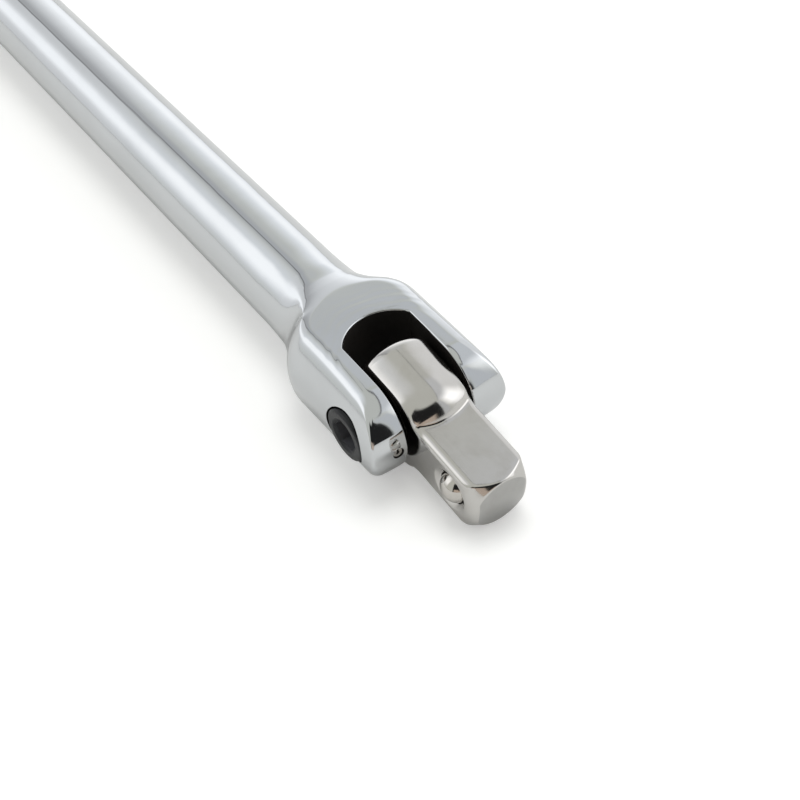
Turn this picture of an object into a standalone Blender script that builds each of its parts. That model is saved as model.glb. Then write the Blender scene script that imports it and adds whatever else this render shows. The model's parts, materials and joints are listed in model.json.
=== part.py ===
# Flex-head breaker bar. A forged handle ends in a fork, and a drive head with a male square swivels
# in the fork on a recessed hex-socket screw, which a slotted spring pin keeps from turning.
# Metres, +Z up. +X runs from the grip to the square, and the swivel axis lies along Y.
# Run it with: blender --background --python part.py

import math

import bmesh
import bpy
from mathutils import Matrix, Vector

# Drive head
SQUARE_WIDTH = 0.0127  # the hub is as wide, so their sides are flush
SQUARE_REACH = 0.02775  # swivel axis to where the end cone meets the middle of the square's faces
SQUARE_EDGE = 0.0012
SIDE_CUT = 0.00015  # taken off each side after the edges are rounded
END_FACE_RADIUS = 0.0053
END_CROWN = 0.00025
END_EASE = 0.00015  # how far back the end's edge is eased
HUB_HEIGHT = 0.0208
HUB_BALL_RADIUS = 0.0129  # the hub's rounded front, centred on the swivel axis
HUB_BACK = 0.0072
HUB_BACK_CHAMFER = 0.0026
DROOP_DEG = 8.0  # how far the head hangs below the handle's line at rest

# Detent in the square
DETENT_REACH = 0.0207
BALL_RADIUS = 0.0033
BALL_STANDS_OUT = 0.0014
BALL_GAP = 0.0002
BORE_DEPTH = 0.0100
DISH_RADIUS = 0.0045
DISH_DEPTH = 0.0004
LIP_DEPTH = 0.0010
SPRING_WIRE = 0.0007
SPRING_RADIUS = 0.0023
SPRING_TURNS = 4

# Handle
OVERALL_LENGTH = 0.380
SHAFT_RADIUS_NECK = 0.0095
SHAFT_RADIUS_GRIP = 0.0083
NECK_START = 0.040  # this and the next lengths lie behind the swivel axis
NECK_RISE = 0.0009
SHOULDER_FOOT = 0.0248
SHOULDER_SLOPE = 0.8
GRIP_RADIUS = 0.0098
GRIP_LENGTH = 0.125
GRIP_BAND = 0.0060
GROOVE_WIDTH = 0.0016
GROOVE_DEPTH = 0.0008
END_DOME = 0.0070

# Fork
FORK_HEIGHT = 0.0210
NOSE_RADIUS = 0.0099
TAPER_START = 0.0076
EAR_LAND = 0.0042  # wall left under the screw's head
COUNTERBORE_DEPTH = 0.0035
SLOT_BACK_CLEARANCE = 0.0013
SLOT_ARC_RADIUS = 0.0091
CREASE_BLEND = 0.0013
NOSE_BLEND = 0.0012

# Screw, lock pin and washers
HEAD_RADIUS = 0.0055
HEAD_RIM = 0.0025
HEAD_CROWN = 0.0006
SOCKET_FLATS = 0.0060
SOCKET_DEPTH = 0.0026
SOCKET_MOUTH_RADIUS = 0.0036
SHANK_RADIUS = 0.0040
THREAD_RADIUS = 0.0035
SHANK_GAP = 0.0002
SCREW_END_RECESS = 0.0010
PIN_RADIUS = 0.0010
PIN_WALL = 0.00045
PIN_SLIT = 0.0004
PIN_GAP = 0.00015
PIN_SINK = 0.0003
PIN_BITE = 0.0012
WASHER_THICKNESS = 0.0004
WASHER_WAVE = 0.0003
WASHER_RADIUS = 0.0065
SEAT_GAP = 0.0003

ROUND_STEPS = 72
SIDE_STEPS, CREASE_STEPS, FLAT_STEPS = 6, 4, 5  # around a quarter of the fork
NOSE_STEPS = 20
NECK_STEPS = 6
SHOULDER_STEPS = 10
STEEPEST_CREASE = 0.32  # least width of the flats that the mesh follows, as a share of their height
LEAST_BLEND = 0.05  # share of CREASE_BLEND left where the shaft is all but round
ANGLE_STEP = 0.01  # radians, for measuring how fast the flat and the round part
BARREL_STATIONS = (1.5, 1.1, 0.9, 0.45)  # rings behind the swivel axis, in lengths of TAPER_START
CUT = 0.030  # how far a cutter runs past what it cuts

# Sizes that follow from those above
half_square = SQUARE_WIDTH / 2
half_fork = FORK_HEIGHT / 2
half_slot = half_square + WASHER_THICKNESS + WASHER_WAVE + 2 * SEAT_GAP
head_seat = half_slot + EAR_LAND
barrel_radius = head_seat + COUNTERBORE_DEPTH
slot_back = HUB_BALL_RADIUS + SLOT_BACK_CLEARANCE
square_tip = SQUARE_REACH + half_square - END_FACE_RADIUS + END_CROWN
handle_end = square_tip - OVERALL_LENGTH
taper_tilt = math.acos(NOSE_RADIUS / math.hypot(TAPER_START, half_fork)) - math.atan2(TAPER_START, half_fork)
head_rim_face = head_seat + SEAT_GAP + HEAD_RIM
pin_offset = half_slot + EAR_LAND / 2
hub_shoulder = math.asin(HUB_HEIGHT / 2 / HUB_BALL_RADIUS)  # from the square's line to where the ball front ends
ball_centre = half_square + BALL_STANDS_OUT - BALL_RADIUS
bore_radius = BALL_RADIUS + BALL_GAP
mouth_plane = half_square - DISH_DEPTH
mouth_radius = math.sqrt(BALL_RADIUS**2 - (mouth_plane - ball_centre) ** 2) + BALL_GAP


def clear_scene():
    for item in list(bpy.data.objects):
        bpy.data.objects.remove(item, do_unlink=True)


def new_collection(name, hidden=False):
    made = bpy.data.collections.new(name)
    made.hide_render = hidden
    bpy.context.scene.collection.children.link(made)
    return made


clear_scene()
parts = new_collection("flex_head_breaker_bar")
cutters = new_collection("cutters", hidden=True)


# Shared tools


def finish(name, color, metallic, roughness):
    material = bpy.data.materials.new(name)
    material.use_nodes = True
    shader = material.node_tree.nodes["Principled BSDF"]
    shader.inputs["Base Color"].default_value = (*color, 1)
    shader.inputs["Metallic"].default_value = metallic
    shader.inputs["Roughness"].default_value = roughness
    return material


def from_bmesh(name, shape, where):
    mesh = bpy.data.meshes.new(name)
    shape.to_mesh(mesh)
    shape.free()
    made = bpy.data.objects.new(name, mesh)
    where.objects.link(made)
    return made


def settled(obj):
    """Replaces the object's mesh with its evaluated one, in world space, and drops its modifiers."""
    graph = bpy.context.evaluated_depsgraph_get()
    mesh = bpy.data.meshes.new_from_object(obj.evaluated_get(graph))
    mesh.transform(obj.matrix_world)
    old = obj.data
    obj.modifiers.clear()
    obj.data = mesh
    obj.matrix_world = Matrix()
    if old.users == 0:
        bpy.data.meshes.remove(old)
    return obj


def combine(obj, other, operation):
    """Joins or cuts obj with other, which is kept as a hidden cutter."""
    if other.name in parts.objects:
        parts.objects.unlink(other)
        cutters.objects.link(other)
    other.hide_render = True
    other.display_type = "WIRE"
    step = obj.modifiers.new(operation.lower(), "BOOLEAN")
    step.operation = operation
    step.object = other
    bpy.context.view_layer.update()
    return settled(obj)


def box(name, low, high, where):
    shape = bmesh.new()
    bmesh.ops.create_cube(shape, size=1)
    size = Vector(high) - Vector(low)
    middle = (Vector(high) + Vector(low)) / 2
    bmesh.ops.transform(shape, matrix=Matrix.LocRotScale(middle, None, size), verts=shape.verts)
    return from_bmesh(name, shape, where)


def turned(name, profile, along, where, steps=ROUND_STEPS):
    """Turns (place on the axis, radius) points, ordered from the axis' low end, about world X or Y."""
    shape = bmesh.new()
    rim = [shape.verts.new((radius, 0, place)) for place, radius in reversed(profile)]
    for above, below in zip(rim, rim[1:]):
        shape.edges.new((above, below))
    made = from_bmesh(name, shape, where)
    screw = made.modifiers.new("turn", "SCREW")
    screw.steps = screw.render_steps = steps
    screw.use_merge_vertices = True
    screw.merge_threshold = 0.00001
    axis = Vector((1, 0, 0)) if along == "X" else Vector((0, 1, 0))
    made.matrix_world = axis.to_track_quat("Z", "Y").to_matrix().to_4x4()
    bpy.context.view_layer.update()
    return settled(made)


def extruded(name, outline, low, high, where):
    """A closed outline of (x, y) points, run counter-clockwise, raised from low to high along Z."""
    shape = bmesh.new()
    foot = [shape.verts.new((x, y, low)) for x, y in outline]
    top = [shape.verts.new((x, y, high)) for x, y in outline]
    shape.faces.new(reversed(foot))
    shape.faces.new(top)
    for i, corner in enumerate(foot):
        after = (i + 1) % len(foot)
        shape.faces.new((corner, foot[after], top[after], top[i]))
    return from_bmesh(name, shape, where)


def arc(centre, radius, start_deg, end_deg, steps):
    """Points on an arc about centre, both ends included."""
    for i in range(steps + 1):
        angle = math.radians(start_deg + (end_deg - start_deg) * i / steps)
        yield centre[0] + radius * math.cos(angle), centre[1] + radius * math.sin(angle)


def round_off(obj, width, segments, angle_deg):
    bevel = obj.modifiers.new("edges", "BEVEL")
    bevel.width = width
    bevel.segments = segments
    bevel.limit_method = "ANGLE"
    bevel.angle_limit = math.radians(angle_deg)
    bpy.context.view_layer.update()
    return settled(obj)


def dress(obj, material, angle_deg=32):
    obj.data.materials.clear()
    obj.data.materials.append(material)
    obj.data.shade_smooth()
    obj.data.set_sharp_from_angle(angle=math.radians(angle_deg))
    return obj


# Handle forging: round shaft, neck, and a turned fork head with flats above and below


def smooth_min(first, second, blend):
    near = max(blend - abs(first - second), 0) / blend
    return min(first, second) - near * near * blend / 4


def turned_radius(x):
    """Radius of the neck, shoulder and barrel at x, before the flats."""
    flare = min(max((x + NECK_START) / (NECK_START - SHOULDER_FOOT), 0), 1)
    neck = SHAFT_RADIUS_NECK + NECK_RISE * flare * flare
    shoulder = SHAFT_RADIUS_NECK + NECK_RISE + SHOULDER_SLOPE * (x + SHOULDER_FOOT)
    return smooth_min(barrel_radius, -smooth_min(-neck, -shoulder, CREASE_BLEND / 4), CREASE_BLEND)


def half_height(x):
    """Half the fork's height at x, seen from the side: level behind, then tapering into the nose."""
    taper = (NOSE_RADIUS - x * math.sin(taper_tilt)) / math.cos(taper_tilt)
    return smooth_min(half_fork, taper, CREASE_BLEND / 4)


def nose_reach(lean):
    """Distance from the swivel axis to the fork's outline, lean radians forward of straight up."""
    return NOSE_RADIUS / math.cos(max(taper_tilt - lean, lean - math.pi + taper_tilt, 0))


def section_angles(crease, spread):
    """Angles over the top from the far side to the near one, gathered where the flat meets the round."""
    stops = (0, max(crease - spread, crease / 2), min(crease + spread, (crease + math.pi / 2) / 2), math.pi / 2)
    steps = (SIDE_STEPS, CREASE_STEPS, FLAT_STEPS)
    quarter = [low + (high - low) * i / n for low, high, n in zip(stops, stops[1:], steps) for i in range(n)]
    return [*quarter, math.pi / 2, *(math.pi - angle for angle in reversed(quarter))]


def half_section(lean, top, radius, blend, crease=None):
    """(y, reach) over half of the fork, in a plane through the Y direction that leans forward by lean radians."""
    squash = math.cos(lean) ** 2

    def gap(angle):
        return top / math.sin(angle) - radius / math.sqrt(math.cos(angle) ** 2 + squash * math.sin(angle) ** 2)

    if crease is None:
        crease = math.atan2(top, math.sqrt(max(radius**2 - squash * top**2, (STEEPEST_CREASE * top) ** 2)))
    slope = (gap(crease - ANGLE_STEP) - gap(crease + ANGLE_STEP)) / (2 * ANGLE_STEP)
    for angle in section_angles(crease, blend / max(slope, top / 2)):
        upward = max(math.sin(angle), 1e-6)
        side = radius / math.sqrt(math.cos(angle) ** 2 + squash * upward**2)
        reach = smooth_min(side, top / upward, blend)
        yield reach * math.cos(angle), reach * math.sin(angle)


def across(x, radius, crease=None):
    """One ring around the handle at x."""
    top = half_height(x)
    blend = CREASE_BLEND * min(max((radius - top) / CREASE_BLEND, LEAST_BLEND), 1)
    half = list(half_section(0, top, radius, blend, crease))
    return [(x, y, z) for y, z in half] + [(x, y, -z) for y, z in half[-2:0:-1]]


def shaft_profile():
    """(x, radius) from the domed end to the neck."""
    for along, radius in arc((0, 0), 1, 172, 90, 8):
        yield handle_end + END_DOME * (1 + along), GRIP_RADIUS * radius
    grip_start = handle_end + GRIP_LENGTH
    for middle in (handle_end + END_DOME + GRIP_BAND, grip_start - GRIP_BAND):
        for along, radius in arc((middle, GRIP_RADIUS), 1, 180, 360, 4):
            yield middle + (along - middle) * GROOVE_WIDTH / 2, GRIP_RADIUS + (radius - GRIP_RADIUS) * GROOVE_DEPTH
    for along, radius in arc((0, 0), 1, 90, 0, 4):
        rise = GRIP_RADIUS - SHAFT_RADIUS_GRIP
        yield grip_start + rise * along, SHAFT_RADIUS_GRIP + rise * radius
    yield -NECK_START, SHAFT_RADIUS_NECK


def handle_rings():
    for x, radius in shaft_profile():
        yield across(x, radius, math.pi / 4)
    for i in range(1, NECK_STEPS):
        x = -NECK_START + (NECK_START - SHOULDER_FOOT) * i / NECK_STEPS
        lift = math.atan(1 / STEEPEST_CREASE) - math.pi / 4
        yield across(x, turned_radius(x), math.pi / 4 + lift * i / NECK_STEPS)
    shoulder_end = (barrel_radius - SHAFT_RADIUS_NECK - NECK_RISE) / SHOULDER_SLOPE + CREASE_BLEND
    for i in range(SHOULDER_STEPS):
        x = -SHOULDER_FOOT - CREASE_BLEND / 4 + (shoulder_end + CREASE_BLEND / 4) * i / (SHOULDER_STEPS - 1)
        yield across(x, turned_radius(x))
    for station in BARREL_STATIONS:
        yield across(-TAPER_START * station, barrel_radius)


def nose_fan():
    """Half sections that turn about the swivel axis from the fork's top to its underside."""
    for i in range(NOSE_STEPS + 1):
        lean = math.pi * i / NOSE_STEPS
        blend = CREASE_BLEND + (NOSE_BLEND - CREASE_BLEND) * math.sin(lean)
        half = half_section(lean, nose_reach(lean), barrel_radius, blend)
        yield [(reach * math.sin(lean), y, reach * math.cos(lean)) for y, reach in half]


def handle_blank():
    """A loft of rings from the domed end to the swivel axis, and from there a fan of half sections."""
    shape = bmesh.new()
    end = shape.verts.new((handle_end, 0, 0))
    rings = [[shape.verts.new(point) for point in ring] for ring in handle_rings()]
    far, near = shape.verts.new((0, barrel_radius, 0)), shape.verts.new((0, -barrel_radius, 0))
    fan = [[far, *map(shape.verts.new, half[1:-1]), near] for half in nose_fan()]
    rings.append([*fan[0], *fan[-1][-2:0:-1]])
    around = len(rings[0])
    for i in range(around):
        after = (i + 1) % around
        shape.faces.new((end, rings[0][i], rings[0][after]))
        for back, front in zip(rings, rings[1:]):
            shape.faces.new((back[i], front[i], front[after], back[after]))
    for above, below in zip(fan, fan[1:]):
        shape.faces.new((far, above[1], below[1]))
        shape.faces.new((near, below[-2], above[-2]))
        for i in range(1, len(above) - 2):
            shape.faces.new((above[i], above[i + 1], below[i + 1], below[i]))
    bmesh.ops.recalc_face_normals(shape, faces=shape.faces)
    return from_bmesh("handle_forging", shape, parts)


def turns(around):
    return [2 * math.pi * i / around for i in range(around)]


def slot_outline():
    """The slot from above: straight walls open to the front, and an arc at the back."""
    arc_centre = SLOT_ARC_RADIUS - slot_back
    corner = math.degrees(math.asin(half_slot / SLOT_ARC_RADIUS))
    yield CUT, -half_slot
    yield CUT, half_slot
    yield from arc((arc_centre, 0), SLOT_ARC_RADIUS, 180 - corner, 180 + corner, 16)


def screw_hole():
    """(y, radius) of the hole for the swivel screw, from the near side to the far side."""
    far_start = half_slot / 2
    return [
        (-CUT, 0),
        (-CUT, HEAD_RADIUS + SEAT_GAP),
        (-head_seat, HEAD_RADIUS + SEAT_GAP),
        (-head_seat, SHANK_RADIUS + SEAT_GAP),
        (far_start, SHANK_RADIUS + SEAT_GAP),
        (far_start, THREAD_RADIUS + SEAT_GAP),
        (CUT, THREAD_RADIUS + SEAT_GAP),
        (CUT, 0),
    ]


def make_handle():
    handle = handle_blank()
    combine(handle, extruded("slot_cutter", list(slot_outline()), -CUT, CUT, cutters), "DIFFERENCE")
    combine(handle, turned("screw_hole_cutter", screw_hole(), "Y", cutters, 48), "DIFFERENCE")
    hole = PIN_RADIUS + PIN_GAP
    pin_cut = turned("lock_pin_cutter", [(0, 0), (0, hole), (CUT, hole), (CUT, 0)], "X", cutters, 24)
    pin_cut.data.transform(Matrix.Translation((SHANK_RADIUS / 2, -pin_offset, 0)))
    combine(handle, pin_cut, "DIFFERENCE")
    return dress(handle, polished_chrome)


# Drive head: a barrel-topped hub with a ball front, and the male square


def hub_profile():
    """(x, radius) of the hub before its side flats, from back to front."""
    crown = HUB_HEIGHT / 2
    yield -HUB_BACK, 0
    yield from arc((HUB_BACK_CHAMFER - HUB_BACK, crown - HUB_BACK_CHAMFER), HUB_BACK_CHAMFER, 180, 90, 5)
    yield from arc((0, 0), HUB_BALL_RADIUS, math.degrees(hub_shoulder), 0, 16)


def square_end_profile():
    """(x, radius) of the turned shape that gives the square its cone and crowned end."""
    clear = SQUARE_WIDTH * 0.8  # past the square's corners
    face = SQUARE_REACH + half_square - END_FACE_RADIUS
    yield 0, 0
    yield 0, clear
    yield SQUARE_REACH + half_square - clear, clear
    yield face - END_EASE, END_FACE_RADIUS + END_EASE
    yield face + END_EASE / 3, END_FACE_RADIUS - END_EASE * 2
    yield square_tip - END_EASE / 3, END_FACE_RADIUS / 2
    yield square_tip, END_FACE_RADIUS / 4
    yield square_tip, 0


def detent_bore():
    """(y, radius) of the ball's bore, from its blind end to the dish at the near face."""
    return [
        (-half_square + BORE_DEPTH, 0),
        (-half_square + BORE_DEPTH, bore_radius),
        (-mouth_plane + LIP_DEPTH, bore_radius),
        (-mouth_plane + LIP_DEPTH / 2, mouth_radius),
        (-mouth_plane, mouth_radius),
        (-half_square - DISH_DEPTH / 4, DISH_RADIUS),
        (-half_square - CUT, DISH_RADIUS),
        (-half_square - CUT, 0),
    ][::-1]


def make_drive_head():
    hub = turned("drive_head", list(hub_profile()), "X", parts)
    blank_side = half_square + SIDE_CUT
    low, high = (HUB_HEIGHT / 4, -blank_side, -half_square), (square_tip + CUT, blank_side, half_square)
    square = round_off(box("square_blank", low, high, cutters), SQUARE_EDGE, 3, 60)
    combine(square, turned("square_end", list(square_end_profile()), "X", cutters), "INTERSECT")
    combine(hub, square, "UNION")
    reach = (2 * CUT, half_square, CUT)
    combine(hub, box("side_flats", [-side for side in reach], reach, cutters), "INTERSECT")
    bore = SHANK_RADIUS + SHANK_GAP
    hole = turned("hub_bore", [(-CUT, 0), (-CUT, bore), (CUT, bore), (CUT, 0)], "Y", cutters, 48)
    combine(hub, hole, "DIFFERENCE")
    detent = turned("detent_cutter", detent_bore(), "Y", cutters, 36)
    detent.data.transform(Matrix.Translation((DETENT_REACH, 0, 0)))
    combine(hub, detent, "DIFFERENCE")
    return dress(hub, satin_steel)


def make_detent_ball():
    shape = bmesh.new()
    bmesh.ops.create_uvsphere(shape, u_segments=28, v_segments=16, radius=BALL_RADIUS)
    bmesh.ops.rotate(shape, verts=shape.verts, matrix=Matrix.Rotation(math.pi / 2, 3, "X"))
    return dress(from_bmesh("detent_ball", shape, parts), polished_steel, 60)


def make_detent_spring():
    """A coil along Y between the bore's blind end and the ball, closed at both ends."""
    wire = SPRING_WIRE / 2
    blind_end = -half_square + BORE_DEPTH - SEAT_GAP - wire
    ball_side = -ball_centre + math.sqrt(BALL_RADIUS**2 - SPRING_RADIUS**2) + SEAT_GAP + wire
    per_turn = 12
    data = bpy.data.curves.new("detent_spring", "CURVE")
    data.dimensions = "3D"
    data.bevel_depth = wire
    data.bevel_resolution = 1
    data.use_fill_caps = True
    data.resolution_u = 1
    line = data.splines.new("POLY")
    line.points.add(per_turn * SPRING_TURNS)
    for i, point in enumerate(line.points):
        share = i / (per_turn * SPRING_TURNS)
        angle = 2 * math.pi * i / per_turn
        place = ball_side + (blind_end - ball_side) * share
        point.co = (SPRING_RADIUS * math.cos(angle), place, SPRING_RADIUS * math.sin(angle), 1)
    made = bpy.data.objects.new("detent_spring", data)
    parts.objects.link(made)
    data.materials.append(spring_steel)
    return made


# Swivel screw, lock pin and wave washers


def screw_profile():
    """(y, radius) of the swivel screw, from its head's face to its far end."""
    face = -head_rim_face - HEAD_CROWN
    far_end = barrel_radius - SCREW_END_RECESS
    thread_start = half_slot - SEAT_GAP
    return [
        (face, 0),
        (face, SOCKET_MOUTH_RADIUS + HEAD_CROWN),
        (face + HEAD_CROWN * 0.35, HEAD_RADIUS - HEAD_CROWN * 1.2),
        (-head_rim_face, HEAD_RADIUS),
        (-head_seat - SEAT_GAP, HEAD_RADIUS),
        (-head_seat - SEAT_GAP, SHANK_RADIUS),
        (thread_start - (SHANK_RADIUS - THREAD_RADIUS), SHANK_RADIUS),
        (thread_start, THREAD_RADIUS),
        (far_end - HEAD_CROWN, THREAD_RADIUS),
        (far_end, THREAD_RADIUS - HEAD_CROWN),
        (far_end, 0),
    ]


def make_screw():
    screw = turned("pivot_screw", screw_profile(), "Y", parts, 48)
    face = -head_rim_face - HEAD_CROWN
    corner = SOCKET_FLATS / math.sqrt(3)
    hexagon = turned(
        "hex_socket",
        [(face - CUT, 0), (face - CUT, corner), (face + SOCKET_DEPTH, corner), (face + SOCKET_DEPTH, 0)],
        "Y",
        cutters,
        6,
    )
    combine(screw, hexagon, "DIFFERENCE")
    mouth = [
        (face - CUT, 0),
        (face - CUT, SOCKET_MOUTH_RADIUS + CUT),
        (face + SOCKET_MOUTH_RADIUS - SOCKET_FLATS / 2, SOCKET_FLATS / 2),
        (face + SOCKET_MOUTH_RADIUS - SOCKET_FLATS / 2, 0),
    ]
    combine(screw, turned("socket_mouth", mouth, "Y", cutters, 48), "DIFFERENCE")
    bite = SHANK_RADIUS - PIN_BITE - PIN_GAP
    hole = PIN_RADIUS + PIN_GAP
    cross = turned("pin_seat", [(bite, 0), (bite, hole), (CUT, hole), (CUT, 0)], "X", cutters, 24)
    cross.data.transform(Matrix.Translation((0, -pin_offset, 0)))
    combine(screw, cross, "DIFFERENCE")
    return dress(screw, black_oxide)


def make_lock_pin():
    """A rolled pin with a slit, along X from the screw's shank to just inside the ear's nose."""
    slit_outside = math.degrees(math.asin(PIN_SLIT / 2 / PIN_RADIUS))
    bore = PIN_RADIUS - PIN_WALL
    slit_inside = math.degrees(math.asin(PIN_SLIT / 2 / bore))
    outline = list(arc((0, 0), PIN_RADIUS, slit_outside, 360 - slit_outside, 20))
    outline += arc((0, 0), bore, 360 - slit_inside, slit_inside, 16)
    low = SHANK_RADIUS - PIN_BITE
    pin = extruded("lock_pin", outline, low, NOSE_RADIUS - PIN_SINK, parts)
    pin.data.transform(Matrix.Translation((0, -pin_offset, 0)) @ Matrix.Rotation(math.pi / 2, 4, "Y"))
    return dress(pin, polished_steel)


def make_washer(name, side):
    """A washer with three waves, standing in the gap between the hub and one ear."""
    shape = bmesh.new()
    middle = side * (half_square + half_slot) / 2
    rings = []
    for turn in turns(48):
        wave = WASHER_WAVE / 2 * math.sin(3 * turn)
        ring = []
        for radius, lift in (
            (SHANK_RADIUS + SHANK_GAP, -1),
            (WASHER_RADIUS, -1),
            (WASHER_RADIUS, 1),
            (SHANK_RADIUS + SHANK_GAP, 1),
        ):
            y = middle + wave + lift * WASHER_THICKNESS / 2
            ring.append(shape.verts.new((radius * math.cos(turn), y, radius * math.sin(turn))))
        rings.append(ring)
    for i, ring in enumerate(rings):
        after = rings[(i + 1) % len(rings)]
        for k in range(4):
            shape.faces.new((ring[k], ring[(k + 1) % 4], after[(k + 1) % 4], after[k]))
    bmesh.ops.recalc_face_normals(shape, faces=shape.faces)
    return dress(from_bmesh(name, shape, parts), spring_steel)


def empty(name, parent=None, place=(0, 0, 0)):
    made = bpy.data.objects.new(name, None)
    made.empty_display_size = SQUARE_WIDTH
    parts.objects.link(made)
    made.parent = parent
    made.location = place
    return made


# Build and place

polished_chrome = finish("polished_chrome", (0.78, 0.79, 0.80), 1.0, 0.06)
satin_steel = finish("satin_plated_steel", (0.66, 0.65, 0.63), 1.0, 0.22)
polished_steel = finish("polished_steel", (0.72, 0.71, 0.69), 1.0, 0.10)
spring_steel = finish("spring_steel", (0.45, 0.44, 0.43), 1.0, 0.30)
black_oxide = finish("black_oxide", (0.03, 0.03, 0.03), 0.4, 0.38)

handle = make_handle()
drive = make_drive_head()
ball = make_detent_ball()
spring = make_detent_spring()
screw = make_screw()
pin = make_lock_pin()
washers = [make_washer("friction_washer_near", -1), make_washer("friction_washer_far", 1)]

# The tool lies with its lowest point at Z = 0, which is under the fork or the drooping hub, and the
# middle of its length at X = 0.
droop = math.radians(DROOP_DEG)
front = square_tip * math.cos(droop)
hub_drop = HUB_BALL_RADIUS * math.sin(min(hub_shoulder + droop, math.pi / 2))
stand = empty("stand", place=(-(handle_end + front) / 2, 0, max(half_fork, hub_drop)))
swivel = empty("swivel_axis", stand)
swivel.rotation_euler = (0, droop, 0)
detent_axis = empty("detent_axis", swivel, (DETENT_REACH, -ball_centre, 0))
for piece in (handle, screw, pin, *washers):
    piece.parent = stand
drive.parent = swivel
spring.parent = swivel
spring.location = (DETENT_REACH, 0, 0)
ball.parent = detent_axis
bpy.context.view_layer.update()
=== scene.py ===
# Looks of the flex-head breaker bar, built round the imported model.
# Pieces are modelled in millimetres about the swivel axis, with +X towards the square, then placed in metres.

import json
import math

import bmesh
import bpy
import numpy as np
from mathutils import Matrix, Vector
from mathutils.bvhtree import BVHTree
from mathutils.interpolate import poly_3d_calc


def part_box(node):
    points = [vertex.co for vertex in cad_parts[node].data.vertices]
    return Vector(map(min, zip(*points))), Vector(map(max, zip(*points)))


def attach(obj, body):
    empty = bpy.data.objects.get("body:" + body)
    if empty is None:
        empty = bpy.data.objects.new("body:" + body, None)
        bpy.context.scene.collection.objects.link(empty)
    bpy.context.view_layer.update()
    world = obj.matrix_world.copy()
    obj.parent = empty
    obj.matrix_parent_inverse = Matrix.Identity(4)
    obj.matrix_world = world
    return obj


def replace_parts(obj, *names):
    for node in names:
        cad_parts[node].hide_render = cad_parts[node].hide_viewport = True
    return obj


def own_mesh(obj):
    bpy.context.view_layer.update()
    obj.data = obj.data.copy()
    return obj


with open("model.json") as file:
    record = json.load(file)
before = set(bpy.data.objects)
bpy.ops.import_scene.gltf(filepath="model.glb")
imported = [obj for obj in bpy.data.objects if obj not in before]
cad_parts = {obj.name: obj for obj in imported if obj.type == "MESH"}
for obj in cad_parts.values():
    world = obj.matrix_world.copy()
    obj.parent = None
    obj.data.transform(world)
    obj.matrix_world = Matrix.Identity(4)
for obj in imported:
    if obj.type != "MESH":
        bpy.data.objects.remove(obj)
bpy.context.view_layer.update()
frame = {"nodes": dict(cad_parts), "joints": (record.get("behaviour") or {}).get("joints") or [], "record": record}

mm = 0.001
swivelJoint = next(joint for joint in frame["joints"] if joint["name"] == "head_swivel")
topMount = next(mount for mount in frame["record"]["mounts"] if mount["name"] == "square_top_face")
pivot = Vector(swivelJoint["pos_m"])
droop = math.atan2(topMount["axis"][0], topMount["axis"][2])  # how far the head hangs below the handle's line
handlePlace = Matrix.Translation(pivot) @ Matrix.Scale(mm, 4)
drivePlace = Matrix.Translation(pivot) @ Matrix.Rotation(droop, 4, "Y") @ Matrix.Scale(mm, 4)


def corners(node):
    # lowest and highest corner of a CAD node from the swivel axis, in millimetres
    low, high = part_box(node)
    return (low - pivot) / mm, (high - pivot) / mm


# Curves, for numbers or arrays


def smoothMin(first, second, blend):
    # the lesser of two heights, with a round about as wide as the blend where they cross
    near = np.maximum(blend - np.abs(first - second), 0) / blend
    return np.minimum(first, second) - near * near * blend / 4


def smoothMax(first, second, blend):
    return -smoothMin(-first, -second, blend)


def ease(value, low, high):
    share = np.clip((value - low) / (high - low), 0, 1)
    return share * share * (3 - 2 * share)


def arc(centre, radius, startDeg, endDeg, steps):
    for i in range(steps + 1):
        angle = math.radians(startDeg + (endDeg - startDeg) * i / steps)
        yield centre[0] + radius * math.cos(angle), centre[1] + radius * math.sin(angle)


# Mesh tools


def meshObject(name, shape, finishIndex=0):
    # the first finish is for the outside, and the second for slots and bores, which on the handle and the drive
    # head is a near-black painted shade
    for face in shape.faces:
        face.material_index = finishIndex
    mesh = bpy.data.meshes.new(name)
    shape.to_mesh(mesh)
    shape.free()
    for _ in range(2):
        mesh.materials.append(None)
    made = bpy.data.objects.new(name, mesh)
    bpy.context.scene.collection.objects.link(made)
    return made


def turned(name, profile, along, steps, finishIndex=0):
    # (place on the axis, radius) points, ordered up the axis, turned about X or Y
    shape = bmesh.new()
    turn = Vector((1, 0, 0) if along == "X" else (0, 1, 0)).to_track_quat("Z", "Y").to_matrix()
    rings = []
    for place, radius in profile:
        ring = []
        for i in range(1 if radius == 0 else steps):
            angle = 2 * math.pi * i / steps
            spot = Vector((radius * math.cos(angle), radius * math.sin(angle), place))
            ring.append(shape.verts.new(turn @ spot))
        rings.append(ring)
    for below, above in zip(rings, rings[1:]):
        for i in range(steps):
            after = (i + 1) % steps
            if len(below) == 1:
                shape.faces.new((below[0], above[after], above[i]))
            elif len(above) == 1:
                shape.faces.new((below[i], below[after], above[0]))
            else:
                shape.faces.new((below[i], below[after], above[after], above[i]))
    bmesh.ops.recalc_face_normals(shape, faces=shape.faces)
    return meshObject(name, shape, finishIndex)


def skin(name, loops, finishIndex=0, ring=False):
    # loops of points joined into one skin, which closes on itself or is capped at both ends
    shape = bmesh.new()
    rows = [[shape.verts.new(point) for point in loop] for loop in loops]
    count = len(rows[0])
    for back, front in zip(rows, rows[1:] + rows[:1] if ring else rows[1:]):
        for i in range(count):
            after = (i + 1) % count
            shape.faces.new((back[i], back[after], front[after], front[i]))
    if not ring:
        shape.faces.new(rows[0])
        shape.faces.new(rows[-1])
    bmesh.ops.recalc_face_normals(shape, faces=shape.faces)
    return meshObject(name, shape, finishIndex)


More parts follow.
